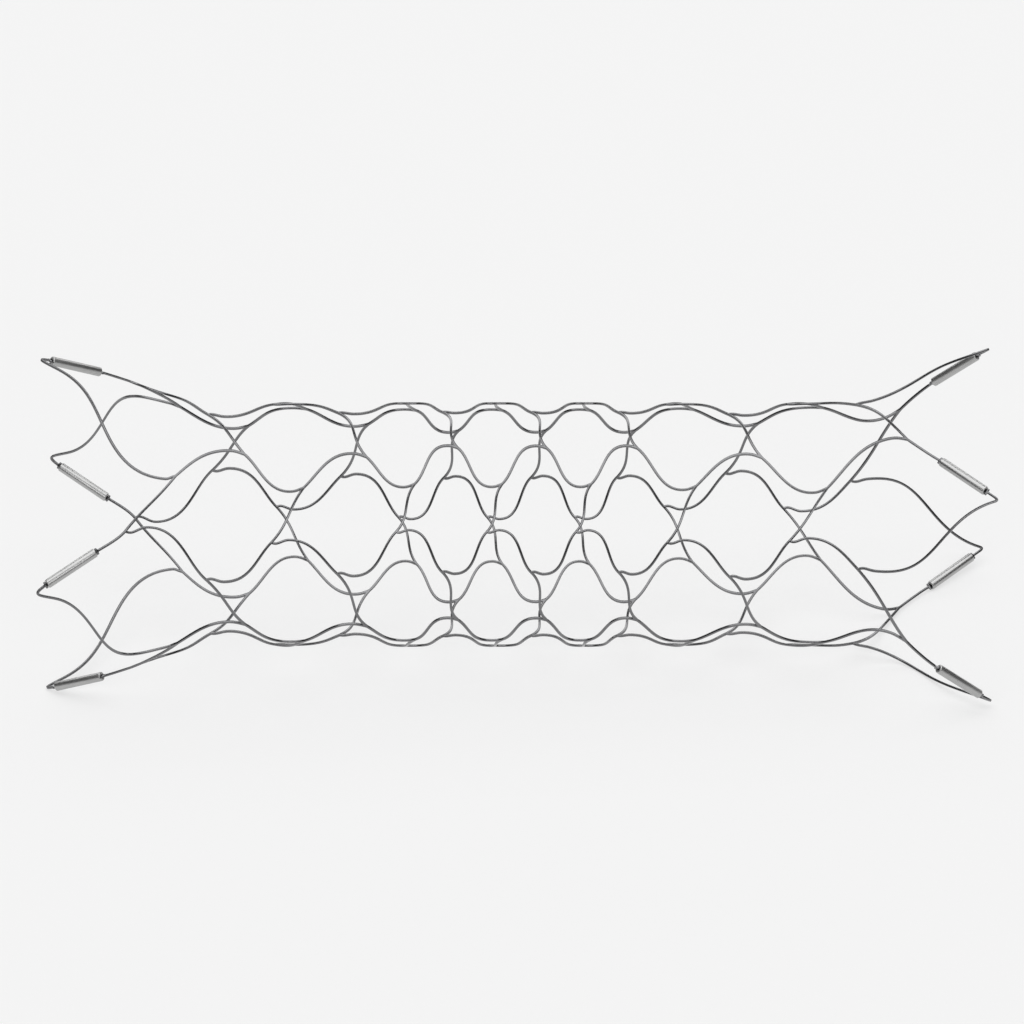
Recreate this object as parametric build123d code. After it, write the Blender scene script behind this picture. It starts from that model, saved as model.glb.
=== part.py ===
"""Self-expanding closed-cell stent with flared ends and sleeve markers, lying at rest.

The lattice is drawn as the flat pattern of one quarter of a laser-cut tube: u runs along the
tube's axis from mid length and s round its wall, in millimetres on the body's mid wall. Each
strut's centre line is carried onto the flared wall and given its width and wall thickness, and
the quarter is turned to make the whole tube. Sleeves sit on the straight legs of the end loops,
between stops cut with the strut.
"""
import bisect
import math
import os
from typing import NamedTuple

from build123d import *

# Tube and strut, mm
BODY_DIAMETER = 4.5
WALL = 0.045
STRUT_WIDTH = 0.046
QUARTERS = 4

# Flare at each end: an arc tangent to the body, then a straight cone
FLARE_START = 5.2
FLARE_RADIUS = 4.6
FLARE_ANGLE = 21.5

# Marker sleeves, and the stops that hold them, mm
SLEEVE_DIAMETER = 0.17
SLEEVE_BORE = 0.082
SLEEVE_LENGTH = 1.06
SLEEVE_PLAY = 0.004
STOP_WIDTH = 0.13
STOP_LENGTH = 0.05

# Headings of the struts at their nodes, degrees from the tube's axis
WAVE_STEEP = 45
MAIN_ARRIVAL = -24
BRANCH_ARRIVAL = 28
CONNECTOR_AT_BRANCH = 47
CONNECTOR_AT_WAVE = 54

# Crests: distance from the node and rise above it, as shares of the strut's run along the axis
MAIN_CREST = (0.24, 0.07)
BRANCH_CREST = (0.27, 0.04)

# Handles of the curves, as shares of their chords
STEEP_HANDLE = 0.34
MAIN_CREST_HANDLE = 0.38
BRANCH_CREST_HANDLE = 0.42
SHORT_HANDLE = 0.4
CONNECTOR_HANDLE = 0.42

# How the stent lies, degrees: rolled about its axis, then pitched, so that it touches the ground with
# a hook of its left end, and with a strut and the inner end of a sleeve at its right end
REST_ROLL = -35.77
REST_PITCH = 2.266

# A strut is lofted in short runs: the most that one bends, degrees, and its greatest length, mm
RUN_BEND = 54
LONGEST_RUN = 1.2
FINE_STEPS = 80

# Clear length at the ends of a loop's straight leg, mm
LEG_CLEAR = 0.1
HOOK_CLEAR = 0.04

MID_RADIUS = (BODY_DIAMETER - WALL) / 2
QUARTER_TURN = 360 / QUARTERS
MARKER_LEG_LENGTH = SLEEVE_LENGTH + 2 * (SLEEVE_PLAY + STOP_LENGTH)


class Ring(NamedTuple):
    """A ring of connectors: distance from mid length, half length, and (roll, half span) per side."""

    station: float
    half_length: float
    left: tuple[float, float]
    right: tuple[float, float]


# The seven rings of each half, from mid length outwards, mm and degrees
RINGS = [
    Ring(0.405, 0.14, (8.0, 11.4), (7.8, 14.2)),
    Ring(1.215, 0.14, (8.0, 14.2), (8.0, 11.4)),
    Ring(2.025, 0.17, (8.0, 11.4), (7.8, 14.2)),
    Ring(3.00, 0.265, (4.9, 16.4), (5.0, 13.4)),
    Ring(4.165, 0.295, (4.6, 13.0), (3.9, 15.8)),
    Ring(5.30, 0.345, (4.2, 14.2), (4.8, 12.4)),
    Ring(6.65, 0.45, (9.8, 12.4), (7.8, 16.8)),
]


class Loop(NamedTuple):
    """An end loop in the flat pattern: places are (u, turn in degrees) and headings are degrees."""

    leg_start: tuple[float, float]
    leg_aim: tuple[float, float]
    leg_handles: tuple[float, float]
    hook_end: tuple[float, float]
    hook_heading: float
    hook_handles: tuple[float, float]
    valley: tuple[float, float]
    valley_handles: tuple[float, float]
    arrival: float


LEFT_LOOP = Loop(
    leg_start=(-7.59, -9.6), leg_aim=(-8.59, -20.7), leg_handles=(0.3, 0.3),
    hook_end=(-8.37, -25.2), hook_heading=-16, hook_handles=(1.0, 1.15),
    valley=(-6.40, -69.6), valley_handles=(0.38, 0.5), arrival=14,
)
RIGHT_LOOP = Loop(
    leg_start=(7.66, 24.2), leg_aim=(8.56, 9.9), leg_handles=(0.3, 0.3),
    hook_end=(8.63, 7.4), hook_heading=190, hook_handles=(0.65, 0.75),
    valley=(6.51, -20.4), valley_handles=(0.45, 0.46), arrival=213,
)


def wall_at(u: float) -> tuple[float, float]:
    """Mid-wall radius at station u, and the wall's slope there in radians."""
    arc = FLARE_RADIUS * math.sin(math.radians(FLARE_ANGLE))
    run = max(abs(u) - FLARE_START, 0)
    slope = math.asin(min(run, arc) / FLARE_RADIUS)
    rise = FLARE_RADIUS * (1 - math.cos(slope)) + max(run - arc, 0) * math.tan(slope)
    return MID_RADIUS + rise, math.copysign(slope, u)


def flat(u: float, turn: float) -> Vector:
    """A place in the flat pattern, from its station and its turn about the axis in degrees."""
    return Vector(u, MID_RADIUS * math.radians(turn))


def heading(degrees: float, along: int = 1, round_wall: int = 1) -> Vector:
    """Unit vector in the flat pattern; the signs mirror it."""
    angle = math.radians(degrees)
    return Vector(along * math.cos(angle), round_wall * math.sin(angle))


def on_wall(place: Vector) -> Plane:
    """Plane on the mid wall: x along the wall, y round it, z outwards. Turn 0 is -Y and 90 is +Z."""
    radius, slope = wall_at(place.X)
    turn = place.Y / MID_RADIUS
    axis = Vector(1, 0, 0)
    radial = Vector(0, -math.cos(turn), math.sin(turn))
    along = axis * math.cos(slope) + radial * math.sin(slope)
    outwards = radial * math.cos(slope) - axis * math.sin(slope)
    return Plane(origin=axis * place.X + radial * radius, x_dir=along, z_dir=outwards)


def curve(start: Vector, leaving: Vector, end: Vector, arriving: Vector, handles: tuple) -> Edge:
    """Curve in the flat pattern; its handles are shares of the chord."""
    chord = (end - start).length
    return Edge.make_bezier(
        start, start + leaving * handles[0] * chord, end - arriving * handles[1] * chord, end
    )


class End(NamedTuple):
    """One end of a leg: the node's name, its place, and the heading of the leg away from it."""

    node: str
    place: Vector
    away: Vector


class Leg(NamedTuple):
    """A strut between two nodes: the curves of its centre line in the flat pattern, in order."""

    start: End
    end: End
    curves: list[Edge]


def node_place(name: str, quarters: int = 0) -> Vector:
    """Place of a node, such as upper_3, in the first quarter or some quarters further round."""
    level, number = name.split("_")
    number = int(number)
    is_left = number <= len(RINGS)
    ring = RINGS[len(RINGS) - number if is_left else number - len(RINGS) - 1]
    station = -ring.station if is_left else ring.station
    roll, half_span = ring.left if is_left else ring.right
    lean = 1 if number % 2 else -1
    if lean < 0:
        roll += QUARTER_TURN / 2
    sign = 1 if level == "upper" else -1
    turn = roll + sign * half_span + quarters * QUARTER_TURN
    return flat(station + sign * lean * ring.half_length, turn)


def wave(steep: tuple, crested: tuple, is_main: bool, round_wall: int) -> Leg:
    """A wave strut: it leaves one node steeply, rounds a crest or valley and meets the other node."""
    start, end = node_place(*steep), node_place(*crested)
    along = int(math.copysign(1, end.X - start.X))
    share, rise = MAIN_CREST if is_main else BRANCH_CREST
    arrival = MAIN_ARRIVAL if is_main else BRANCH_ARRIVAL
    crest_handle = MAIN_CREST_HANDLE if is_main else BRANCH_CREST_HANDLE
    run = end.X - start.X
    crest = end + Vector(-share * run, rise * abs(run) * round_wall)
    leaving = heading(WAVE_STEEP, along, round_wall)
    level = heading(0, along)
    arriving = heading(arrival, along, round_wall)
    climb = curve(start, leaving, crest, level, (STEEP_HANDLE, crest_handle))
    fall = curve(crest, level, end, arriving, (SHORT_HANDLE, SHORT_HANDLE))
    return Leg(End(steep[0], start, leaving), End(crested[0], end, arriving * -1), [climb, fall])


def connector(number: int) -> Leg:
    """The S-shaped strut from the branch node of a ring to its wave node."""
    lean = 1 if number % 2 else -1
    branch, wave_node = ("lower", "upper") if lean > 0 else ("upper", "lower")
    start, end = node_place(f"{branch}_{number}"), node_place(f"{wave_node}_{number}")
    leaving = heading(CONNECTOR_AT_BRANCH, 1, lean)
    arriving = heading(CONNECTOR_AT_WAVE, 1, lean)
    body = curve(start, leaving, end, arriving, (CONNECTOR_HANDLE, CONNECTOR_HANDLE))
    return Leg(
        End(f"{branch}_{number}", start, leaving),
        End(f"{wave_node}_{number}", end, arriving * -1),
        [body],
    )


def lattice_legs() -> list[Leg]:
    """Every strut of one quarter between its connectors' nodes, without the end loops."""
    count = 2 * len(RINGS)
    legs = [connector(number) for number in range(1, count + 1)]
    for number in range(1, count):
        near, far = str(number), str(number + 1)
        if number % 2:
            legs.append(wave(("upper_" + near,), ("lower_" + far,), True, 1))
            legs.append(wave(("upper_" + far, -1), ("lower_" + near,), False, 1))
        else:
            legs.append(wave(("lower_" + near,), ("upper_" + far,), True, -1))
            legs.append(wave(("lower_" + far,), ("upper_" + near, -1), False, -1))
    return legs


class Section(NamedTuple):
    """Corners of a strut's cross-section, seen along the strut with the outside of the tube up."""

    left_out: Vector
    right_out: Vector
    right_in: Vector
    left_in: Vector


def section(left: Vector, right: Vector, outwards: Vector) -> Section:
    """Cross-section between two places on the mid wall."""
    half_wall = outwards * (WALL / 2)
    return Section(left + half_wall, right + half_wall, right - half_wall, left - half_wall)


def loft(sections: list[Section]) -> list[Face]:
    """The four sides of a strut, each ruled from section to section."""
    return [
        Face.make_surface_from_curves(
            Edge.make_line(near[i], near[(i + 1) % 4]), Edge.make_line(far[i], far[(i + 1) % 4])
        )
        for near, far in zip(sections, sections[1:])
        for i in range(4)
    ]


def strut_frame(centre: Wire, distance: float) -> Plane:
    """Frame of a strut at a distance along its flat centre line: x ahead, y to its left, z outwards."""
    place = centre.position_at(distance, PositionMode.LENGTH)
    ahead = centre.tangent_at(distance, PositionMode.LENGTH)
    wall = on_wall(place)
    return Plane(origin=wall.origin, x_dir=true_heading(place, ahead, wall), z_dir=wall.z_dir)


def along_curves(curves: list[Edge], clear_start: float, clear_end: float) -> list[Section]:
    """Sections along a centre line, clear of its two ends, closer together where it bends more."""
    centre = Wire(curves)
    step_length = (centre.length - clear_start - clear_end) / FINE_STEPS
    fine = [strut_frame(centre, clear_start + step_length * step) for step in range(FINE_STEPS + 1)]
    bend = [0.0]
    for before, after in zip(fine, fine[1:]):
        turn = before.x_dir.get_angle(after.x_dir)
        bend.append(bend[-1] + turn + RUN_BEND * step_length / LONGEST_RUN)
    runs = math.ceil(bend[-1] / RUN_BEND)
    sections = []
    for run in range(runs + 1):
        target = bend[-1] * run / runs
        step = min(bisect.bisect_right(bend, target), FINE_STEPS) - 1
        share = (target - bend[step]) / (bend[step + 1] - bend[step])
        frame = strut_frame(centre, clear_start + step_length * (step + share))
        side = frame.y_dir * (STRUT_WIDTH / 2)
        sections.append(section(frame.origin + side, frame.origin - side, frame.z_dir))
    return sections


def true_heading(place: Vector, ahead: Vector, plane: Plane) -> Vector:
    """A flat heading as it is on the wall, where the flare stretches the pattern."""
    radius, slope = wall_at(place.X)
    return plane.x_dir * (ahead.X / math.cos(slope)) + plane.y_dir * (ahead.Y * radius / MID_RADIUS)


def corner(before: float, after: float) -> Vector:
    """Where the sides of two legs meet in their crotch, from the legs' true angles at the node."""
    half = (after - before) % (2 * math.pi) / 2
    reach = STRUT_WIDTH / 2 / math.sin(half)
    return Vector(reach * math.cos(before + half), reach * math.sin(before + half))


class Node:
    """A junction of three legs: it knows the corner in each crotch, and closes its own patch."""

    def __init__(self, place: Vector):
        self.place = place
        self.angles: list[float] = []

    def true_angle(self, away: Vector) -> float:
        """Angle on the wall of a flat heading."""
        plane = on_wall(self.place)
        ahead = true_heading(self.place, away, plane)
        return math.atan2(ahead.dot(plane.y_dir), ahead.dot(plane.x_dir))

    def join(self, away: Vector) -> None:
        """Add a leg."""
        self.angles.append(self.true_angle(away))
        self.angles.sort()

    def corners_beside(self, away: Vector) -> tuple[Vector, Vector]:
        """Corners to the left and right of a leg, looking away from the node, in the node's plane."""
        index = self.angles.index(self.true_angle(away))
        after = self.angles[(index + 1) % len(self.angles)]
        before = self.angles[index - 1]
        return corner(self.angles[index], after), corner(before, self.angles[index])

    def patch(self) -> list[Face]:
        """The outer and inner triangles between the three legs."""
        plane = on_wall(self.place)
        pairs = zip(self.angles, self.angles[1:] + self.angles[:1])
        places = [plane.from_local_coords(corner(before, after)) for before, after in pairs]
        half_wall = plane.z_dir * (WALL / 2)
        return [
            Face(Wire.make_polygon([place + half_wall * side for place in places])) for side in (1, -1)
        ]


def end_section(node: Node, end: End, leaves: bool) -> tuple[Section, float]:
    """A leg's section between its node's corners, and the leg's length that those corners take."""
    left, right = node.corners_beside(end.away)
    plane = on_wall(end.place)
    angle = node.true_angle(end.away)
    ahead = Vector(math.cos(angle), math.sin(angle))
    taken = max(left.dot(ahead), right.dot(ahead), 0) + STRUT_WIDTH / 2
    if not leaves:
        left, right = right, left
    return section(plane.from_local_coords(left), plane.from_local_coords(right), plane.z_dir), taken


def strut(leg: Leg, nodes: dict[str, Node]) -> list[Face]:
    """Faces of one strut between its two nodes."""
    first, clear_start = end_section(nodes[leg.start.node], leg.start, True)
    last, clear_end = end_section(nodes[leg.end.node], leg.end, False)
    return loft([first, *along_curves(leg.curves, clear_start, clear_end), last])


def stop(start: Section, end: Section) -> list[Face]:
    """A stop across a straight leg: a small plate, wider than the strut, with its ends left open."""
    overhang = (start.left_out - start.right_out).normalized() * ((STOP_WIDTH - STRUT_WIDTH) / 2)

    def outline(left: int, right: int) -> list[Vector]:
        return [
            start[left], start[left] + overhang, end[left] + overhang, end[left],
            end[right], end[right] - overhang, start[right] - overhang, start[right],
        ]

    outer, inner = outline(0, 1), outline(3, 2)
    plates = [Face(Wire.make_polygon(points)) for points in (outer, inner)]
    open_sides = (3, 7)
    walls = [
        Face(Wire.make_polygon([outer[i], outer[(i + 1) % 8], inner[(i + 1) % 8], inner[i]]))
        for i in range(8)
        if i not in open_sides
    ]
    return plates + walls


def marker_leg(loop: Loop) -> Plane:
    """Frame of a loop's straight leg, from the start of its first stop: x along it, z outwards."""
    start = on_wall(flat(*loop.leg_start))
    aim = on_wall(flat(*loop.leg_aim))
    ahead = (aim.origin - start.origin).normalized()
    outwards = ahead.cross(start.z_dir.cross(ahead))
    return Plane(origin=start.origin, x_dir=ahead, z_dir=outwards)


def flat_place_of(point: Vector) -> Vector:
    """The flat place under a point of the wall."""
    return Vector(point.X, MID_RADIUS * math.atan2(point.Z, -point.Y))


def end_loop(loop: Loop, start: End, end: End, nodes: dict[str, Node]) -> list[Face]:
    """Faces of an end loop: a leg, the straight leg with its stops, the hook and the leg back."""
    frame = marker_leg(loop)
    side = frame.y_dir * (STRUT_WIDTH / 2)
    stations = (0, STOP_LENGTH, MARKER_LEG_LENGTH - STOP_LENGTH, MARKER_LEG_LENGTH)
    places = [frame.origin + frame.x_dir * station for station in stations]
    cuts = [section(place + side, place - side, frame.z_dir) for place in places]
    leg_start, leg_end = flat_place_of(places[0]), flat_place_of(places[-1])
    ahead = (leg_end - leg_start).normalized()

    first, clear_start = end_section(nodes[start.node], start, True)
    inner_leg = curve(start.place, start.away, leg_start, ahead, loop.leg_handles)
    faces = loft([first, *along_curves([inner_leg], clear_start, LEG_CLEAR), cuts[0]])
    faces += stop(cuts[0], cuts[1]) + loft(cuts[1:3]) + stop(cuts[2], cuts[3])

    hook_end, valley = flat(*loop.hook_end), flat(*loop.valley)
    turning = heading(loop.hook_heading)
    level = heading(0, int(math.copysign(1, valley.X - hook_end.X)))
    last, clear_end = end_section(nodes[end.node], end, False)
    way_back = [
        curve(leg_end, ahead, hook_end, turning, loop.hook_handles),
        curve(hook_end, turning, valley, level, loop.valley_handles),
        curve(valley, level, end.place, end.away * -1, (SHORT_HANDLE, SHORT_HANDLE)),
    ]
    return faces + loft([cuts[3], *along_curves(way_back, HOOK_CLEAR, clear_end), last])


def loop_ends() -> list[tuple[Loop, End, End]]:
    """Both end loops of a quarter, with the ends that they join."""
    last = 2 * len(RINGS)
    left_start = End("lower_1", node_place("lower_1"), heading(180 + WAVE_STEEP))
    left_end = End("upper_1", node_place("upper_1", -1), heading(LEFT_LOOP.arrival) * -1)
    right_start = End(f"lower_{last}", node_place(f"lower_{last}"), heading(-WAVE_STEEP))
    right_end = End(f"upper_{last}", node_place(f"upper_{last}", -1), heading(RIGHT_LOOP.arrival) * -1)
    return [(LEFT_LOOP, left_start, left_end), (RIGHT_LOOP, right_start, right_end)]


def quarter_faces() -> list[Face]:
    """All faces of one quarter of the lattice."""
    legs = lattice_legs()
    loops = loop_ends()
    ends = [end for leg in legs for end in (leg.start, leg.end)]
    ends += [end for _, start, finish in loops for end in (start, finish)]
    nodes = {end.node: Node(node_place(end.node)) for end in ends}
    for end in ends:
        nodes[end.node].join(end.away)
    faces = [face for leg in legs for face in strut(leg, nodes)]
    faces += [face for loop in loops for face in end_loop(*loop, nodes)]
    return faces + [face for node in nodes.values() for face in node.patch()]


def lattice() -> Solid:
    """The whole cut tube: a quarter's faces, patterned round the axis and sewn into one solid."""
    faces = quarter_faces()
    pattern = [face.rotate(Axis.X, QUARTER_TURN * turn) for turn in range(QUARTERS) for face in faces]
    return Solid(Shell(pattern))


def sleeve(loop: Loop) -> Solid:
    """A marker sleeve on a loop's straight leg, in the first quarter."""
    middle = (MARKER_LEG_LENGTH - SLEEVE_LENGTH) / 2
    tube = Cylinder(SLEEVE_DIAMETER / 2, SLEEVE_LENGTH) - Cylinder(SLEEVE_BORE / 2, SLEEVE_LENGTH)
    frame = marker_leg(loop)
    seat = Plane(origin=frame.origin + frame.x_dir * (middle + SLEEVE_LENGTH / 2), z_dir=frame.x_dir)
    return (seat.location * tube).solid()


def at_rest(pieces: dict[str, Solid]) -> dict[str, Solid]:
    """The pieces as the stent lies on the ground, over its middle, with the ground at Z 0."""
    lie = Rotation(0, REST_PITCH, 0) * Rotation(REST_ROLL, 0, 0)
    lying = {name: lie * piece for name, piece in pieces.items()}
    box = Compound(list(lying.values())).bounding_box()
    centre = box.center()
    drop = Pos(-centre.X, -centre.Y, -box.min.Z)
    return {name: drop * piece for name, piece in lying.items()}


def build() -> dict[str, Solid]:
    """Every piece of the stent, by its name."""
    pieces = {"strut_lattice": lattice()}
    for side, loop in (("left", LEFT_LOOP), ("right", RIGHT_LOOP)):
        marker = sleeve(loop)
        for turn in range(QUARTERS):
            pieces[f"marker_{side}_{turn + 1}"] = marker.rotate(Axis.X, QUARTER_TURN * turn)
    return at_rest(pieces)


os.makedirs("parts", exist_ok=True)
for piece_name, piece_solid in build().items():
    export_step(piece_solid, f"parts/{piece_name}.step")
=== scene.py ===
"""Looks of a self-expanding closed-cell stent with flared ends and sleeve markers, lying at rest.

The strut lattice is built finer than the CAD solid, from the same centre lines in the flat pattern
of the cut tube, with the rounded edges of an electropolished part. One quarter is made in mesh code
and a Geometry Nodes tree turns it round the tube's axis and lays the tube down. Lengths are in
millimetres until that tree scales them to metres.
"""
from __future__ import annotations

import logging
import math
from collections.abc import Iterable
from dataclasses import dataclass, field
from enum import Enum
from itertools import pairwise

import bpy
from mathutils import Matrix, Vector

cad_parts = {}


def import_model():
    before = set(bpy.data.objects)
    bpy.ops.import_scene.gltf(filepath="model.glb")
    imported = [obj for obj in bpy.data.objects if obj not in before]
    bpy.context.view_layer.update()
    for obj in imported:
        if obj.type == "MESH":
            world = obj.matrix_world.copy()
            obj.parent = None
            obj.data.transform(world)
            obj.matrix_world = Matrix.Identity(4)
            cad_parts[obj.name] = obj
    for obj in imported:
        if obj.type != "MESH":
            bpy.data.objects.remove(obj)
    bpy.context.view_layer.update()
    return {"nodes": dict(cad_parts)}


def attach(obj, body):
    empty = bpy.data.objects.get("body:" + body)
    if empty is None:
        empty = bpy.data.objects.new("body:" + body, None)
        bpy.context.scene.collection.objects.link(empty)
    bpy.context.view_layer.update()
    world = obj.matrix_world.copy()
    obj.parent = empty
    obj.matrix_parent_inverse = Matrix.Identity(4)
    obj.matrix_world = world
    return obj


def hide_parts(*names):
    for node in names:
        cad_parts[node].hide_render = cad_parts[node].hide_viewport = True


LOG = logging.getLogger("stent")
METRES_PER_MM = 0.001


class StrutKind(Enum):
    """The two kinds of wave strut, by what they do at the node where they arrive."""

    MAIN = "main"
    BRANCH = "branch"


@dataclass(frozen=True)
class Seat:
    """A place with its three directions: ahead, to the left, and out of the tube."""

    origin: Vector
    ahead: Vector
    left: Vector
    outwards: Vector

    def point(self, ahead: float, left: float, outwards: float) -> Vector:
        """The point at those distances along the three directions."""
        return self.origin + self.ahead * ahead + self.left * left + self.outwards * outwards


@dataclass(frozen=True)
class FlaredWall:
    """The heat-set tube that the flat pattern lies on: its middle surface and its wall."""

    body_diameter: float = 4.5
    thickness: float = 0.045
    flare_start: float = 5.2
    flare_radius: float = 4.6
    flare_angle: float = 21.5

    @property
    def mid_radius(self) -> float:
        """Mid-wall radius of the body."""
        return (self.body_diameter - self.thickness) / 2

    def radius_and_slope(self, station: float) -> tuple[float, float]:
        """Mid-wall radius at a station along the axis, and the wall's slope there.

        Args:
            station: distance from mid length, in millimetres.

        Returns:
            The radius in millimetres and the slope in radians.
        """
        arc = self.flare_radius * math.sin(math.radians(self.flare_angle))
        run = max(abs(station) - self.flare_start, 0)
        slope = math.asin(min(run, arc) / self.flare_radius)
        rise = self.flare_radius * (1 - math.cos(slope)) + max(run - arc, 0) * math.tan(slope)
        return self.mid_radius + rise, math.copysign(slope, station)

    def flat(self, station: float, turn: float) -> Vector:
        """The place in the flat pattern at a station and a turn about the axis in degrees."""
        return Vector((station, self.mid_radius * math.radians(turn)))

    def seat(self, place: Vector) -> Seat:
        """The seat on the wall over a place in the flat pattern, with ahead along the tube."""
        radius, slope = self.radius_and_slope(place.x)
        turn = place.y / self.mid_radius
        axis = Vector((1, 0, 0))
        radial = Vector((0, -math.cos(turn), math.sin(turn)))
        along = axis * math.cos(slope) + radial * math.sin(slope)
        outwards = radial * math.cos(slope) - axis * math.sin(slope)
        return Seat(axis * place.x + radial * radius, along, outwards.cross(along), outwards)

    def strut_seat(self, place: Vector, heading: Vector) -> Seat:
        """The seat of a strut: ahead follows a flat heading as the flare stretches it.

        Args:
            place: place in the flat pattern.
            heading: direction in the flat pattern.

        Returns:
            The seat, with ahead along the strut.
        """
        radius, slope = self.radius_and_slope(place.x)
        wall = self.seat(place)
        along = wall.ahead * (heading.x / math.cos(slope))
        ahead = (along + wall.left * (heading.y * radius / self.mid_radius)).normalized()
        return Seat(wall.origin, ahead, wall.outwards.cross(ahead), wall.outwards)

    def flat_place_of(self, point: Vector) -> Vector:
        """The flat place under a point of the wall."""
        return Vector((point.x, self.mid_radius * math.atan2(point.z, -point.y)))


@dataclass(frozen=True)
class StrutEdge:
    """How a strut's edges are rounded by electropolishing."""

    radius: float = 0.009
    steps: int = 2

    def half_profile(self, thickness: float) -> list[tuple[float, float]]:
        """One side of the strut's section, from the outer face round to the inner face.

        Args:
            thickness: the wall's thickness.

        Returns:
            Pairs of inset from the strut's side and height above the mid wall.
        """
        angles = [math.pi / 2 * step / self.steps for step in range(self.steps + 1)]
        upper = [
            (self.radius * (1 - math.sin(angle)), thickness / 2 - self.radius * (1 - math.cos(angle)))
            for angle in angles
        ]
        return upper + [(inset, -height) for inset, height in reversed(upper)]


@dataclass(frozen=True)
class FlatCurve:
    """A curve in the flat pattern, from its two ends and the handles between them."""

    points: tuple[Vector, Vector, Vector, Vector]

    @classmethod
    def between(
        cls, start: Vector, leaving: Vector, end: Vector, arriving: Vector, handles: tuple[float, float]
    ) -> FlatCurve:
        """A curve from its ends, its headings there, and its handles as shares of the chord."""
        chord = (end - start).length
        near = start + leaving * (handles[0] * chord)
        far = end - arriving * (handles[1] * chord)
        return cls((start, near, far, end))

    def place(self, share: float) -> Vector:
        """The place at a share of the curve's own parameter."""
        a, b, c, d = self.points
        rest = 1 - share
        return a * rest**3 + b * (3 * rest**2 * share) + c * (3 * rest * share**2) + d * share**3

    def heading(self, share: float) -> Vector:
        """The direction at a share of the curve's own parameter, not of unit length."""
        a, b, c, d = self.points
        rest = 1 - share
        return (b - a) * rest**2 + (c - b) * (2 * rest * share) + (d - c) * share**2


@dataclass
class CentreLine:
    """The centre line of a strut: curves of the flat pattern end to end."""

    wall: FlaredWall
    curves: list[FlatCurve]
    samples: int = 120

    def seats(
        self, clear_start: float, clear_end: float, run_bend: float, longest_run: float
    ) -> list[Seat]:
        """Seats along the line, closer together where it bends more.

        Args:
            clear_start: length left out at the start.
            clear_end: length left out at the end.
            run_bend: the most that the line bends between two seats, in degrees.
            longest_run: the greatest length between two seats.

        Returns:
            The seats in order.
        """
        shares = [(curve, step / self.samples) for curve in self.curves for step in range(self.samples)]
        shares.append((self.curves[-1], 1.0))
        places = [curve.place(share) for curve, share in shares]
        lengths = [0.0]
        for before, after in pairwise(places):
            lengths.append(lengths[-1] + (after - before).length)
        kept = [
            index for index, length in enumerate(lengths)
            if clear_start <= length <= lengths[-1] - clear_end
        ]
        fine = [self.wall.strut_seat(places[i], shares[i][0].heading(shares[i][1])) for i in kept]
        bend = [0.0]
        for (i, before), (j, after) in pairwise(zip(kept, fine)):
            turn = math.degrees(before.ahead.angle(after.ahead, 0.0))
            bend.append(bend[-1] + turn + run_bend * (lengths[j] - lengths[i]) / longest_run)
        runs = max(math.ceil(bend[-1] / run_bend), 1)
        wanted = [bend[-1] * run / runs for run in range(runs + 1)]
        nearest = [min(range(len(fine)), key=lambda step: abs(bend[step] - aim)) for aim in wanted]
        return [fine[step] for step in sorted(set(nearest))]


@dataclass(frozen=True)
class End:
    """One end of a leg: its junction's name, its flat place, and the heading away from it."""

    junction: str
    place: Vector
    away: Vector


@dataclass(frozen=True)
class Leg:
    """A strut between two junctions."""

    start: End
    end: End
    curves: list[FlatCurve]


@dataclass(frozen=True)
class Ring:
    """A ring of connectors: station, half length, and (roll, half span) on each side."""

    station: float
    half_length: float
    left: tuple[float, float]
    right: tuple[float, float]


@dataclass(frozen=True)
class Loop:
    """An end loop: places are (station, turn in degrees) and headings are degrees."""

    leg_start: tuple[float, float]
    leg_aim: tuple[float, float]
    leg_handles: tuple[float, float]
    hook_end: tuple[float, float]
    hook_heading: float
    hook_handles: tuple[float, float]
    valley: tuple[float, float]
    valley_handles: tuple[float, float]
    arrival: float


@dataclass(frozen=True)
class MarkerSizes:
    """Sizes of a marker sleeve, and of the stops that hold it on its leg."""

    diameter: float = 0.17
    bore: float = 0.082
    length: float = 1.06
    play: float = 0.004
    rim_radius: float = 0.02
    stop_width: float = 0.13
    stop_length: float = 0.05
    stop_edge: float = 0.008
    bore_bevel: float = 0.005

    @property
    def leg_length(self) -> float:
        """Length of the straight leg, over its two stops."""
        return self.length + 2 * (self.play + self.stop_length)


@dataclass
class Junction:
    """Where three legs meet: it knows the crotch between each pair of neighbours."""

    wall: FlaredWall
    place: Vector
    angles: list[float] = field(default_factory=list)

    def angle_of(self, away: Vector) -> float:
        """The angle on the wall of a flat heading."""
        wall = self.wall.seat(self.place)
        ahead = self.wall.strut_seat(self.place, away).ahead
        return math.atan2(ahead.dot(wall.left), ahead.dot(wall.ahead))

    def join(self, away: Vector) -> None:
        """Adds a leg that leaves with that heading."""
        self.angles.append(self.angle_of(away))
        self.angles.sort()

    def crotches(self) -> list[tuple[float, float]]:
        """Every crotch, as the angle of its middle and half its opening, anticlockwise."""
        pairs = zip(self.angles, self.angles[1:] + self.angles[:1])
        halves = [(before, (after - before) % (2 * math.pi) / 2) for before, after in pairs]
        return [(before + half, half) for before, half in halves]

    def crotches_beside(self, away: Vector) -> tuple[tuple[float, float], tuple[float, float]]:
        """The crotches to the left and right of a leg, looking away from the junction."""
        index = self.angles.index(self.angle_of(away))
        crotches = self.crotches()
        return crotches[index], crotches[index - 1]


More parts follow.
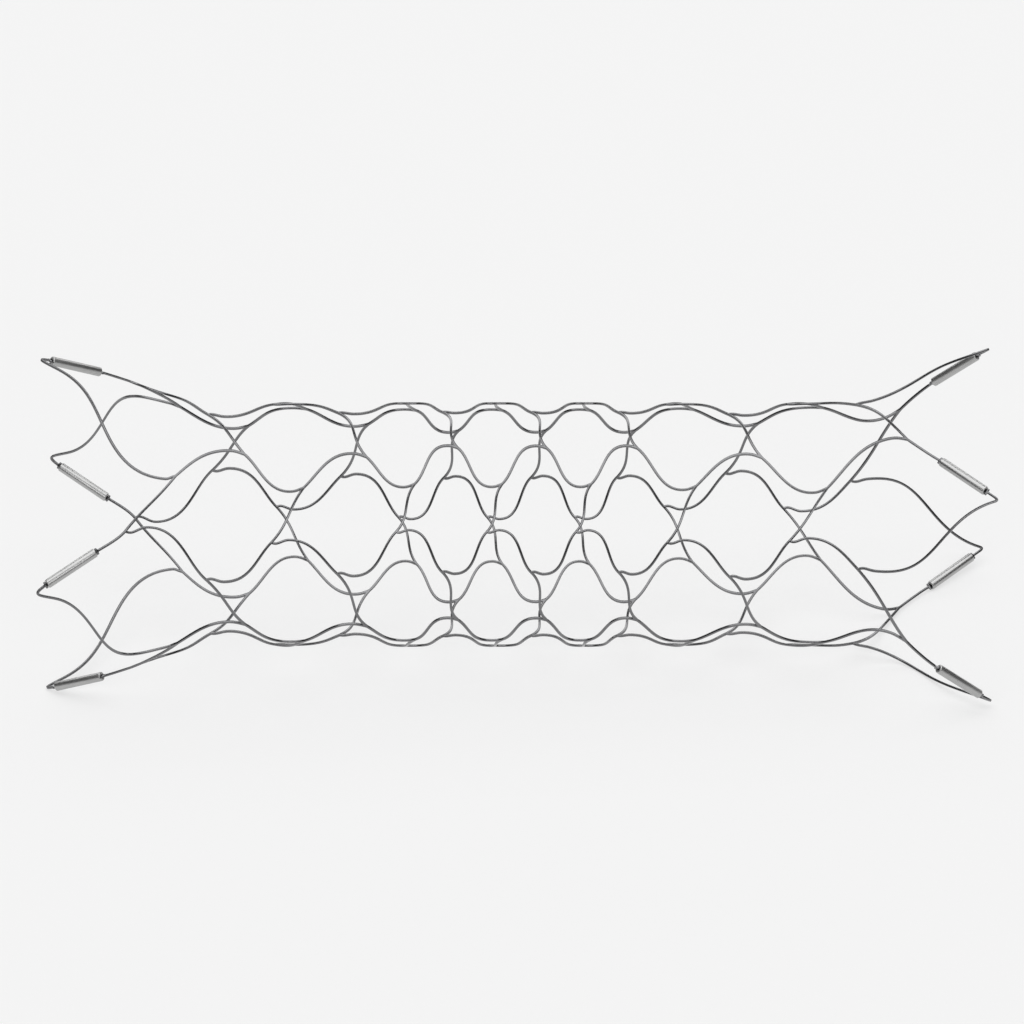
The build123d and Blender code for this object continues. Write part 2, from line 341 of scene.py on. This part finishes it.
@dataclass
class StrutMesh:
    """Vertices and faces of struts, gathered before they become a mesh."""

    wall: FlaredWall
    edge: StrutEdge
    strut_width: float
    crotch_clear: float = 0.35
    points: list[Vector] = field(default_factory=list)
    faces: list[tuple[int, ...]] = field(default_factory=list)

    def add_ring(self, ring: list[Vector]) -> list[int]:
        """Adds a ring of points and returns their numbers."""
        first = len(self.points)
        self.points.extend(ring)
        return list(range(first, len(self.points)))

    def section(self, seat: Seat, width: float) -> list[Vector]:
        """The strut's outline at a seat: down its left side and up its right side."""
        profile = self.edge.half_profile(self.wall.thickness)
        left = [seat.point(0, width / 2 - inset, height) for inset, height in profile]
        right = [seat.point(0, inset - width / 2, height) for inset, height in reversed(profile)]
        return left + right

    def crotch_side(self, seat: Seat, crotch: tuple[float, float]) -> list[Vector]:
        """The half outline that two legs share in their crotch."""
        angle, half = crotch
        side = []
        for inset, height in self.edge.half_profile(self.wall.thickness):
            reach = (self.strut_width / 2 - inset) / math.sin(half)
            side.append(seat.point(reach * math.cos(angle), reach * math.sin(angle), height))
        return side

    def end_section(self, junction: Junction, end: End, leaves: bool) -> tuple[list[Vector], float]:
        """A leg's outline between the two crotches beside it.

        Args:
            junction: the junction where the leg ends.
            end: the end of the leg.
            leaves: whether the leg's line starts here.

        Returns:
            The outline, and the length of the leg that its crotches take.
        """
        seat = self.wall.seat(end.place)
        beside = junction.crotches_beside(end.away)
        angle = junction.angle_of(end.away)
        reaches = [
            self.strut_width / 2 / math.sin(half) * math.cos(middle - angle) for middle, half in beside
        ]
        left, right = (self.crotch_side(seat, crotch) for crotch in beside)
        if not leaves:
            left, right = right, left
        return left + right[::-1], max(*reaches, 0) + self.strut_width * self.crotch_clear

    def skin(self, rings: list[list[Vector]]) -> None:
        """Joins rings of points, in order, with quads that face outwards."""
        numbers = [self.add_ring(ring) for ring in rings]
        count = len(numbers[0])
        for near, far in pairwise(numbers):
            for i in range(count):
                j = (i + 1) % count
                self.faces.append((near[i], far[i], far[j], near[j]))

    def patch(self, junction: Junction) -> None:
        """Closes a junction with its outer and inner faces."""
        seat = self.wall.seat(junction.place)
        sides = [self.crotch_side(seat, crotch) for crotch in junction.crotches()]
        outer = self.add_ring([side[0] for side in sides])
        inner = self.add_ring([side[-1] for side in sides])
        self.faces.append(tuple(outer))
        self.faces.append(tuple(reversed(inner)))

    def as_object(self, name: str) -> bpy.types.Object:
        """The gathered faces as a mesh object of that name."""
        mesh = bpy.data.meshes.new(name)
        mesh.from_pydata([tuple(point) for point in self.points], [], self.faces)
        shown = bpy.data.objects.new(name, mesh)
        bpy.context.scene.collection.objects.link(shown)
        return shown


@dataclass(frozen=True)
class RestPose:
    """How the stent lies, as in the CAD model: rolled, then pitched, then moved."""

    roll: float = -35.77
    pitch: float = 2.266
    shift: tuple[float, float, float] = (0.01005, 0.0, 2.84896)

    def matrix(self) -> Matrix:
        """The turn and the shift as one matrix, in millimetres."""
        turn = Matrix.Rotation(math.radians(self.pitch), 4, "Y")
        turn = turn @ Matrix.Rotation(math.radians(self.roll), 4, "X")
        return Matrix.Translation(self.shift) @ turn


@dataclass
class TubePatternTree:
    """Geometry Nodes tree that turns a quarter round the tube's axis and lays the tube down."""

    rest: RestPose
    quarters: int = 4
    merge_distance: float = 0.00002
    tree: bpy.types.NodeTree | None = None

    def build(self) -> bpy.types.NodeTree:
        """Builds the tree, with its sizes as named inputs."""
        tree = bpy.data.node_groups.new("tube_pattern", "GeometryNodeTree")
        face = tree.interface
        face.new_socket("Geometry", in_out="INPUT", socket_type="NodeSocketGeometry")
        for name, kind in (
            ("Quarters", "NodeSocketInt"), ("Quarter Turn", "NodeSocketFloat"),
            ("Merge Distance", "NodeSocketFloat"), ("Roll", "NodeSocketVector"),
            ("Pitch", "NodeSocketVector"), ("Shift", "NodeSocketVector"),
            ("Scale", "NodeSocketFloat"), ("Finish", "NodeSocketMaterial"),
        ):
            face.new_socket(name, in_out="INPUT", socket_type=kind)
        face.new_socket("Geometry", in_out="OUTPUT", socket_type="NodeSocketGeometry")
        new, join = tree.nodes.new, tree.links.new
        given, result = new("NodeGroupInput"), new("NodeGroupOutput")

        points = new("GeometryNodePoints")
        join(given.outputs["Quarters"], points.inputs["Count"])
        number = new("GeometryNodeInputIndex")
        turn = new("ShaderNodeMath")
        turn.operation = "MULTIPLY"
        join(number.outputs["Index"], turn.inputs[0])
        join(given.outputs["Quarter Turn"], turn.inputs[1])
        about_axis = new("ShaderNodeCombineXYZ")
        join(turn.outputs[0], about_axis.inputs["X"])

        place = new("GeometryNodeInstanceOnPoints")
        join(points.outputs[0], place.inputs["Points"])
        join(given.outputs["Geometry"], place.inputs["Instance"])
        join(about_axis.outputs[0], place.inputs["Rotation"])
        real = new("GeometryNodeRealizeInstances")
        join(place.outputs["Instances"], real.inputs["Geometry"])
        merge = new("GeometryNodeMergeByDistance")
        join(real.outputs["Geometry"], merge.inputs["Geometry"])
        join(given.outputs["Merge Distance"], merge.inputs["Distance"])

        rolled, laid = new("GeometryNodeTransform"), new("GeometryNodeTransform")
        join(merge.outputs["Geometry"], rolled.inputs["Geometry"])
        join(given.outputs["Roll"], rolled.inputs["Rotation"])
        join(rolled.outputs["Geometry"], laid.inputs["Geometry"])
        join(given.outputs["Pitch"], laid.inputs["Rotation"])
        join(given.outputs["Shift"], laid.inputs["Translation"])
        join(given.outputs["Scale"], laid.inputs["Scale"])

        smooth, finish = new("GeometryNodeSetShadeSmooth"), new("GeometryNodeSetMaterial")
        join(laid.outputs["Geometry"], smooth.inputs["Geometry"])
        join(smooth.outputs["Geometry"], finish.inputs["Geometry"])
        join(given.outputs["Finish"], finish.inputs["Material"])
        join(finish.outputs["Geometry"], result.inputs["Geometry"])
        self.tree = tree
        return tree

    def apply(self, piece: bpy.types.Object, finish: bpy.types.Material) -> None:
        """Runs the tree on a quarter and keeps the result as a plain mesh.

        Args:
            piece: the object that holds the quarter's mesh, in millimetres.
            finish: the material of the whole piece.
        """
        values = {
            "Quarters": self.quarters,
            "Quarter Turn": math.tau / self.quarters,
            "Merge Distance": self.merge_distance,
            "Roll": (math.radians(self.rest.roll), 0.0, 0.0),
            "Pitch": (0.0, math.radians(self.rest.pitch), 0.0),
            "Shift": tuple(part * METRES_PER_MM for part in self.rest.shift),
            "Scale": METRES_PER_MM,
            "Finish": finish,
        }
        modifier = piece.modifiers.new("tube_pattern", "NODES")
        modifier.node_group = self.tree or self.build()
        for item in modifier.node_group.interface.items_tree:
            if item.in_out == "INPUT" and item.name in values:
                modifier[item.identifier] = values[item.name]
        bpy.context.view_layer.update()
        shown = piece.evaluated_get(bpy.context.evaluated_depsgraph_get())
        mesh = bpy.data.meshes.new_from_object(shown)
        piece.modifiers.clear()
        piece.data = mesh


@dataclass
class StrutLattice:
    """The cut and heat-set lattice: connectors, wave struts and end loops."""

    wall: FlaredWall = field(default_factory=FlaredWall)
    markers: MarkerSizes = field(default_factory=MarkerSizes)
    edge: StrutEdge = field(default_factory=StrutEdge)
    strut_width: float = 0.046
    quarter_turn: float = 90.0
    wave_steep: float = 45
    arrivals: dict[StrutKind, float] = field(
        default_factory=lambda: {StrutKind.MAIN: -24, StrutKind.BRANCH: 28}
    )
    crests: dict[StrutKind, tuple[float, float]] = field(
        default_factory=lambda: {StrutKind.MAIN: (0.24, 0.07), StrutKind.BRANCH: (0.27, 0.04)}
    )
    crest_handles: dict[StrutKind, float] = field(
        default_factory=lambda: {StrutKind.MAIN: 0.38, StrutKind.BRANCH: 0.42}
    )
    connector_headings: tuple[float, float] = (47, 54)
    steep_handle: float = 0.34
    short_handle: float = 0.4
    connector_handle: float = 0.42
    run_bend: float = 9.0
    longest_run: float = 0.09
    leg_clear: float = 0.06
    hook_clear: float = 0.02
    rings: tuple[Ring, ...] = (
        Ring(0.405, 0.14, (8.0, 11.4), (7.8, 14.2)),
        Ring(1.215, 0.14, (8.0, 14.2), (8.0, 11.4)),
        Ring(2.025, 0.17, (8.0, 11.4), (7.8, 14.2)),
        Ring(3.00, 0.265, (4.9, 16.4), (5.0, 13.4)),
        Ring(4.165, 0.295, (4.6, 13.0), (3.9, 15.8)),
        Ring(5.30, 0.345, (4.2, 14.2), (4.8, 12.4)),
        Ring(6.65, 0.45, (9.8, 12.4), (7.8, 16.8)),
    )
    left_loop: Loop = Loop(
        leg_start=(-7.59, -9.6), leg_aim=(-8.59, -20.7), leg_handles=(0.3, 0.3),
        hook_end=(-8.37, -25.2), hook_heading=-16, hook_handles=(1.0, 1.15),
        valley=(-6.40, -69.6), valley_handles=(0.38, 0.5), arrival=14,
    )
    right_loop: Loop = Loop(
        leg_start=(7.66, 24.2), leg_aim=(8.56, 9.9), leg_handles=(0.3, 0.3),
        hook_end=(8.63, 7.4), hook_heading=190, hook_handles=(0.65, 0.75),
        valley=(6.51, -20.4), valley_handles=(0.45, 0.46), arrival=213,
    )

    @staticmethod
    def heading(degrees: float, along: int = 1, round_wall: int = 1) -> Vector:
        """A unit direction in the flat pattern; the signs mirror it."""
        angle = math.radians(degrees)
        return Vector((along * math.cos(angle), round_wall * math.sin(angle)))

    def junction_place(self, name: str, quarters: int = 0) -> Vector:
        """The flat place of a junction.

        Args:
            name: its level and ring, such as upper_3, counted from the left end.
            quarters: how many quarters further round the place lies.

        Returns:
            The place in the flat pattern.
        """
        level, digits = name.split("_")
        number, count = int(digits), len(self.rings)
        is_left = number <= count
        ring = self.rings[count - number if is_left else number - count - 1]
        station = -ring.station if is_left else ring.station
        roll, half_span = ring.left if is_left else ring.right
        lean = 1 if number % 2 else -1
        if lean < 0:
            roll += self.quarter_turn / 2
        sign = 1 if level == "upper" else -1
        turn = roll + sign * half_span + quarters * self.quarter_turn
        return self.wall.flat(station + sign * lean * ring.half_length, turn)

    def wave(
        self, steep: str, crested: str, quarters: tuple[int, int], kind: StrutKind, way: int
    ) -> Leg:
        """A wave strut from the junction that it leaves steeply, over a crest, to the other.

        Args:
            steep: the junction that it leaves steeply.
            crested: the junction that it meets after its crest.
            quarters: how many quarters round each of the two lies.
            kind: the kind of strut.
            way: 1 where it climbs round the wall, -1 where it falls.

        Returns:
            The leg.
        """
        start = self.junction_place(steep, quarters[0])
        end = self.junction_place(crested, quarters[1])
        along = int(math.copysign(1, end.x - start.x))
        share, rise = self.crests[kind]
        run = end.x - start.x
        crest = end + Vector((-share * run, rise * abs(run) * way))
        leaving = self.heading(self.wave_steep, along, way)
        level = self.heading(0, along)
        arriving = self.heading(self.arrivals[kind], along, way)
        climb = FlatCurve.between(
            start, leaving, crest, level, (self.steep_handle, self.crest_handles[kind])
        )
        fall = FlatCurve.between(crest, level, end, arriving, (self.short_handle, self.short_handle))
        return Leg(End(steep, start, leaving), End(crested, end, -arriving), [climb, fall])

    def connector(self, number: int) -> Leg:
        """The S-shaped strut across a ring, from its branch junction to its wave junction."""
        lean = 1 if number % 2 else -1
        branch, wave_level = ("lower", "upper") if lean > 0 else ("upper", "lower")
        near, far = f"{branch}_{number}", f"{wave_level}_{number}"
        start, end = self.junction_place(near), self.junction_place(far)
        leaving = self.heading(self.connector_headings[0], 1, lean)
        arriving = self.heading(self.connector_headings[1], 1, lean)
        handles = (self.connector_handle, self.connector_handle)
        curve = FlatCurve.between(start, leaving, end, arriving, handles)
        return Leg(End(near, start, leaving), End(far, end, -arriving), [curve])

    def legs(self) -> list[Leg]:
        """Every strut of one quarter, without the end loops."""
        count = 2 * len(self.rings)
        legs = [self.connector(number) for number in range(1, count + 1)]
        main, branch = StrutKind.MAIN, StrutKind.BRANCH
        for near, far in pairwise(range(1, count + 1)):
            if near % 2:
                legs.append(self.wave(f"upper_{near}", f"lower_{far}", (0, 0), main, 1))
                legs.append(self.wave(f"upper_{far}", f"lower_{near}", (-1, 0), branch, 1))
            else:
                legs.append(self.wave(f"lower_{near}", f"upper_{far}", (0, 0), main, -1))
                legs.append(self.wave(f"lower_{far}", f"upper_{near}", (0, -1), branch, -1))
        return legs

    def loop_ends(self) -> list[tuple[Loop, End, End]]:
        """Both end loops of a quarter, with the ends that they join."""
        ends = []
        for loop, number, steep in (
            (self.left_loop, 1, 180 + self.wave_steep),
            (self.right_loop, 2 * len(self.rings), -self.wave_steep),
        ):
            lower, upper = f"lower_{number}", f"upper_{number}"
            start = End(lower, self.junction_place(lower), self.heading(steep))
            finish = End(upper, self.junction_place(upper, -1), -self.heading(loop.arrival))
            ends.append((loop, start, finish))
        return ends

    def marker_leg(self, loop: Loop) -> Seat:
        """The seat of a loop's straight leg, at the start of its first stop."""
        start = self.wall.seat(self.wall.flat(*loop.leg_start))
        aim = self.wall.seat(self.wall.flat(*loop.leg_aim))
        ahead = (aim.origin - start.origin).normalized()
        left = start.outwards.cross(ahead).normalized()
        return Seat(start.origin, ahead, left, ahead.cross(left))

    def along_leg(self, seat: Seat) -> list[tuple[Seat, float]]:
        """Seats and widths along a straight leg, with its two stops."""
        sizes, narrow = self.markers, self.strut_width
        wide, edge, stop = sizes.stop_width, sizes.stop_edge, sizes.stop_length
        rows = [(0, narrow), (edge, wide), (stop - edge, wide), (stop, narrow)]
        middle = [(stop + (sizes.leg_length - 2 * stop) * share, narrow) for share in (0.25, 0.5, 0.75)]
        rows += middle + [(sizes.leg_length - station, width) for station, width in reversed(rows)]
        return [
            (Seat(seat.point(station, 0, 0), seat.ahead, seat.left, seat.outwards), width)
            for station, width in rows
        ]

    def end_loop(
        self, skin: StrutMesh, loop: Loop, start: End, end: End, junctions: dict[str, Junction]
    ) -> None:
        """Adds an end loop: a leg, the straight leg with its stops, the hook and the leg back.

        Args:
            skin: the mesh that it is added to.
            loop: the loop's places and headings.
            start: where it leaves the lattice.
            end: where it comes back.
            junctions: the junctions by name.
        """
        seat = self.marker_leg(loop)
        leg_start = self.wall.flat_place_of(seat.origin)
        leg_end = self.wall.flat_place_of(seat.point(self.markers.leg_length, 0, 0))
        ahead = (leg_end - leg_start).normalized()
        hook_end, valley = self.wall.flat(*loop.hook_end), self.wall.flat(*loop.valley)
        turning = self.heading(loop.hook_heading)
        level = self.heading(0, int(math.copysign(1, valley.x - hook_end.x)))
        handles = (self.short_handle, self.short_handle)
        inner = [FlatCurve.between(start.place, start.away, leg_start, ahead, loop.leg_handles)]
        back = [
            FlatCurve.between(leg_end, ahead, hook_end, turning, loop.hook_handles),
            FlatCurve.between(hook_end, turning, valley, level, loop.valley_handles),
            FlatCurve.between(valley, level, end.place, -end.away, handles),
        ]
        first, clear_start = skin.end_section(junctions[start.junction], start, True)
        last, clear_end = skin.end_section(junctions[end.junction], end, False)
        rings = [first]
        rings += self.outlines(skin, inner, clear_start, self.leg_clear)
        rings += [skin.section(place, width) for place, width in self.along_leg(seat)]
        rings += self.outlines(skin, back, self.hook_clear, clear_end)
        skin.skin([*rings, last])

    def outlines(
        self, skin: StrutMesh, curves: list[FlatCurve], clear_start: float, clear_end: float
    ) -> list[list[Vector]]:
        """The strut's outlines along curves, clear of their two ends."""
        line = CentreLine(self.wall, curves)
        seats = line.seats(clear_start, clear_end, self.run_bend, self.longest_run)
        return [skin.section(seat, self.strut_width) for seat in seats]

    def build(self) -> bpy.types.Object:
        """Builds one quarter of the lattice, in millimetres about the tube's axis."""
        skin = StrutMesh(self.wall, self.edge, self.strut_width)
        legs, loops = self.legs(), self.loop_ends()
        ends = [end for leg in legs for end in (leg.start, leg.end)]
        ends += [end for _, start, finish in loops for end in (start, finish)]
        junctions = {
            end.junction: Junction(self.wall, self.junction_place(end.junction)) for end in ends
        }
        for end in ends:
            junctions[end.junction].join(end.away)
        for leg in legs:
            first, clear_start = skin.end_section(junctions[leg.start.junction], leg.start, True)
            last, clear_end = skin.end_section(junctions[leg.end.junction], leg.end, False)
            middle = self.outlines(skin, leg.curves, clear_start, clear_end)
            skin.skin([first, *middle, last])
        for loop, start, finish in loops:
            self.end_loop(skin, loop, start, finish, junctions)
        for junction in junctions.values():
            skin.patch(junction)
        return skin.as_object("polished_lattice")


@dataclass
class MarkerSleeves:
    """The eight radiopaque sleeves on the straight legs of the end loops."""

    lattice: StrutLattice
    segments: int = 48
    rim_steps: int = 4

    def profile(self) -> list[tuple[float, float]]:
        """The sleeve's wall as (radius, station) pairs, with both outer rims rounded."""
        sizes = self.lattice.markers
        outer, bore = sizes.diameter / 2, sizes.bore / 2
        rim, half = sizes.rim_radius, sizes.length / 2
        angles = [math.pi / 2 * step / self.rim_steps for step in range(self.rim_steps + 1)]
        upper = [(outer - rim + rim * math.cos(a), half - rim + rim * math.sin(a)) for a in angles]
        inner = [(bore + sizes.bore_bevel, half), (bore, half - sizes.bore_bevel)]
        top = upper + inner
        return top + [(radius, -station) for radius, station in reversed(top)]

    def build(self) -> bpy.types.Object:
        """Builds the two sleeves of one quarter, in millimetres about the tube's axis."""
        points, faces = [], []
        profile = self.profile()
        for loop in (self.lattice.left_loop, self.lattice.right_loop):
            seat = self.lattice.marker_leg(loop)
            middle = self.lattice.markers.leg_length / 2
            first = len(points)
            for segment in range(self.segments):
                angle = math.tau * segment / self.segments
                across, up = math.cos(angle), math.sin(angle)
                points += [seat.point(middle + s, r * across, r * up) for r, s in profile]
            count = len(profile)
            for segment in range(self.segments):
                near = first + segment * count
                far = first + (segment + 1) % self.segments * count
                faces += [
                    (near + i, far + i, far + (i + 1) % count, near + (i + 1) % count)
                    for i in range(count)
                ]
        mesh = bpy.data.meshes.new("marker_sleeves")
        mesh.from_pydata([tuple(point) for point in points], [], faces)
        shown = bpy.data.objects.new("marker_sleeves", mesh)
        bpy.context.scene.collection.objects.link(shown)
        return shown


class SurfaceVariation:
    """Shader node group: cloudy colour, roughness and fine relief over a metal surface."""

    def __init__(self) -> None:
        """Builds the group once, for every metal to use."""
        group = bpy.data.node_groups.new("surface_variation", "ShaderNodeTree")
        face = group.interface
        for name, kind, value in (
            ("Colour", "NodeSocketColor", (0.5, 0.5, 0.5, 1.0)),
            ("Cloud Colour", "NodeSocketColor", (0.4, 0.4, 0.4, 1.0)),
            ("Cloud Scale", "NodeSocketFloat", 4000.0),
            ("Grain Scale", "NodeSocketFloat", 60000.0),
            ("Roughness", "NodeSocketFloat", 0.25),
            ("Roughness Spread", "NodeSocketFloat", 0.08),
        ):
            socket = face.new_socket(name, in_out="INPUT", socket_type=kind)
            socket.default_value = value
        for name, kind in (
            ("Colour", "NodeSocketColor"),
            ("Roughness", "NodeSocketFloat"),
            ("Height", "NodeSocketFloat"),
        ):
            face.new_socket(name, in_out="OUTPUT", socket_type=kind)
        new, join = group.nodes.new, group.links.new
        given, result = new("NodeGroupInput"), new("NodeGroupOutput")
        coordinates = new("ShaderNodeTexCoord")
        cloud, grain = new("ShaderNodeTexNoise"), new("ShaderNodeTexNoise")
        for noise, scale in ((cloud, "Cloud Scale"), (grain, "Grain Scale")):
            join(coordinates.outputs["Object"], noise.inputs["Vector"])
            join(given.outputs[scale], noise.inputs["Scale"])
        tint = new("ShaderNodeMix")
        tint.data_type = "RGBA"
        join(cloud.outputs["Fac"], tint.inputs[0])
        join(given.outputs["Colour"], tint.inputs[6])
        join(given.outputs["Cloud Colour"], tint.inputs[7])
        join(tint.outputs[2], result.inputs["Colour"])
        centred, spread = new("ShaderNodeMath"), new("ShaderNodeMath")
        centred.operation, centred.inputs[1].default_value = "SUBTRACT", 0.5
        join(grain.outputs["Fac"], centred.inputs[0])
        spread.operation = "MULTIPLY_ADD"
        join(centred.outputs[0], spread.inputs[0])
        join(given.outputs["Roughness Spread"], spread.inputs[1])
        join(given.outputs["Roughness"], spread.inputs[2])
        join(spread.outputs[0], result.inputs["Roughness"])
        join(grain.outputs["Fac"], result.inputs["Height"])
        self.group = group


@dataclass(frozen=True)
class MetalFinish:
    """A metal's finish: its colour and cloudiness, its gloss and its fine relief."""

    name: str
    colour: tuple[float, float, float]
    cloud_colour: tuple[float, float, float]
    cloud_scale: float
    grain_scale: float
    roughness: float
    roughness_spread: float
    relief: float

    def build(self, variation: SurfaceVariation) -> bpy.types.Material:
        """Builds the material.

        Args:
            variation: the shader group that the metals share.

        Returns:
            The material.
        """
        material = bpy.data.materials.new(self.name)
        material.use_nodes = True
        nodes, join = material.node_tree.nodes, material.node_tree.links.new
        shader = nodes["Principled BSDF"]
        shader.inputs["Metallic"].default_value = 1.0
        group = nodes.new("ShaderNodeGroup")
        group.node_tree = variation.group
        group.inputs["Colour"].default_value = (*self.colour, 1.0)
        group.inputs["Cloud Colour"].default_value = (*self.cloud_colour, 1.0)
        group.inputs["Cloud Scale"].default_value = self.cloud_scale
        group.inputs["Grain Scale"].default_value = self.grain_scale
        group.inputs["Roughness"].default_value = self.roughness
        group.inputs["Roughness Spread"].default_value = self.roughness_spread
        bump = nodes.new("ShaderNodeBump")
        bump.inputs["Distance"].default_value = self.relief
        join(group.outputs["Colour"], shader.inputs["Base Color"])
        join(group.outputs["Roughness"], shader.inputs["Roughness"])
        join(group.outputs["Height"], bump.inputs["Height"])
        join(bump.outputs["Normal"], shader.inputs["Normal"])
        return material


@dataclass(frozen=True)
class Softbox:
    """A soft lamp that faces the stent: its place and size in metres, and its power in watts."""

    name: str
    place: tuple[float, float, float]
    size: tuple[float, float]
    power: float

    def build(self) -> bpy.types.Object:
        """Hangs the lamp, with its length along the stent."""
        data = bpy.data.lights.new(self.name, "AREA")
        data.shape = "RECTANGLE"
        data.size, data.size_y = self.size
        data.energy = self.power
        lamp = bpy.data.objects.new(self.name, data)
        lamp.location = self.place
        lamp.rotation_euler = Vector(self.place).to_track_quat("Z", "Y").to_euler()
        bpy.context.scene.collection.objects.link(lamp)
        return lamp


@dataclass
class Studio:
    """The pale floor, in metres, the soft lamps, and the camera, in millimetres from the stent."""

    rest: RestPose
    view_distance: float = 202.0
    frame_width: float = 18.81
    aim: tuple[float, float, float] = (-0.087, 0.0, 0.23)
    sensor_width: float = 36.0
    clip_start: float = 0.01
    floor_size: float = 3.0
    floor_colour: float = 0.905
    shadow_share: float = 0.35
    sky_strength: float = 0.08
    lamps: tuple[Softbox, ...] = (
        Softbox("overhead_softbox", (0.0, 0.05, 0.55), (1.0, 0.6), 3.25),
        Softbox("rear_softbox", (0.0, 0.52, 0.25), (1.0, 0.2), 1.35),
        Softbox("front_softbox", (0.0, -0.46, 0.36), (1.0, 0.2), 1.4),
    )

    def build_camera(self) -> bpy.types.Object:
        """Places the camera square to the stent's axis, where the photograph was taken from."""
        rest = self.rest.matrix()
        aim = rest @ Vector(self.aim)
        back = (rest.to_3x3() @ Vector((0, -1, 0))).normalized()
        right = (rest.to_3x3() @ Vector((1, 0, 0))).normalized()
        up = back.cross(right)
        turn = Matrix((right, up, back)).transposed().to_4x4()
        camera_data = bpy.data.cameras.new("camera")
        camera_data.sensor_width = self.sensor_width
        camera_data.lens = self.sensor_width * self.view_distance / self.frame_width
        camera_data.clip_start = self.clip_start
        camera = bpy.data.objects.new("camera", camera_data)
        place = (aim + back * self.view_distance) * METRES_PER_MM
        camera.matrix_world = Matrix.Translation(place) @ turn
        bpy.context.scene.collection.objects.link(camera)
        bpy.context.scene.camera = camera
        return camera

    def build_floor(self) -> bpy.types.Object:
        """Makes the floor, which shows its own pale colour and keeps the soft shadow."""
        half = self.floor_size / 2
        mesh = bpy.data.meshes.new("floor")
        corners = [(-half, -half, 0), (half, -half, 0), (half, half, 0), (-half, half, 0)]
        mesh.from_pydata(corners, [], [(0, 1, 2, 3)])
        floor = bpy.data.objects.new("floor", mesh)
        bpy.context.scene.collection.objects.link(floor)
        material = bpy.data.materials.new("floor_pale")
        material.use_nodes = True
        nodes, join = material.node_tree.nodes, material.node_tree.links.new
        nodes.clear()
        colour = (self.floor_colour, self.floor_colour, self.floor_colour, 1.0)
        diffuse, glow = nodes.new("ShaderNodeBsdfDiffuse"), nodes.new("ShaderNodeEmission")
        diffuse.inputs["Color"].default_value = colour
        glow.inputs["Color"].default_value = colour
        rays = nodes.new("ShaderNodeLightPath")
        seen, either = nodes.new("ShaderNodeMath"), nodes.new("ShaderNodeMath")
        seen.operation = either.operation = "MAXIMUM"
        join(rays.outputs["Is Camera Ray"], seen.inputs[0])
        join(rays.outputs["Is Glossy Ray"], seen.inputs[1])
        join(seen.outputs[0], either.inputs[0])
        join(rays.outputs["Is Transmission Ray"], either.inputs[1])
        share = nodes.new("ShaderNodeMath")
        share.operation = "MULTIPLY"
        share.inputs[1].default_value = 1 - self.shadow_share
        join(either.outputs[0], share.inputs[0])
        mix, out = nodes.new("ShaderNodeMixShader"), nodes.new("ShaderNodeOutputMaterial")
        join(share.outputs[0], mix.inputs["Fac"])
        join(diffuse.outputs[0], mix.inputs[1])
        join(glow.outputs[0], mix.inputs[2])
        join(mix.outputs[0], out.inputs["Surface"])
        mesh.materials.append(material)
        return floor

    def build(self) -> None:
        """Builds the camera, the floor, the lamps and the surroundings."""
        self.build_camera()
        self.build_floor()
        for lamp in self.lamps:
            lamp.build()
        world = bpy.data.worlds.new("surroundings")
        world.use_nodes = True
        background = world.node_tree.nodes["Background"]
        background.inputs["Color"].default_value = (1.0, 1.0, 1.0, 1.0)
        background.inputs["Strength"].default_value = self.sky_strength
        bpy.context.scene.world = world
        bpy.context.scene.view_settings.view_transform = "Standard"


STRUT_METAL = MetalFinish(
    name="electropolished_strut", colour=(0.26, 0.26, 0.265), cloud_colour=(0.13, 0.13, 0.135),
    cloud_scale=1500.0, grain_scale=50000.0, roughness=0.22, roughness_spread=0.1, relief=0.0000005,
)
MARKER_METAL = MetalFinish(
    name="polished_marker", colour=(0.5, 0.5, 0.495), cloud_colour=(0.42, 0.42, 0.42),
    cloud_scale=3500.0, grain_scale=20000.0, roughness=0.34, roughness_spread=0.08, relief=0.0000002,
)


def main() -> None:
    """Builds the stage and the pieces, and hangs every piece on the frame."""
    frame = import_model()
    rest = RestPose()
    Studio(rest).build()
    variation = SurfaceVariation()
    pattern = TubePatternTree(rest)

    lattice = StrutLattice()
    struts = lattice.build()
    pattern.apply(struts, STRUT_METAL.build(variation))
    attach(struts, "root")
    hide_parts("strut_lattice")
    LOG.info("lattice: %d faces", len(struts.data.polygons))

    sleeves = MarkerSleeves(lattice).build()
    pattern.apply(sleeves, MARKER_METAL.build(variation))
    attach(sleeves, "root")
    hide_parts(*sorted(name for name in frame["nodes"] if name.startswith("marker_")))
    LOG.info("sleeves: %d faces", len(sleeves.data.polygons))

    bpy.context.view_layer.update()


if __name__ == "__main__":
    logging.basicConfig(level=logging.INFO)
    main()
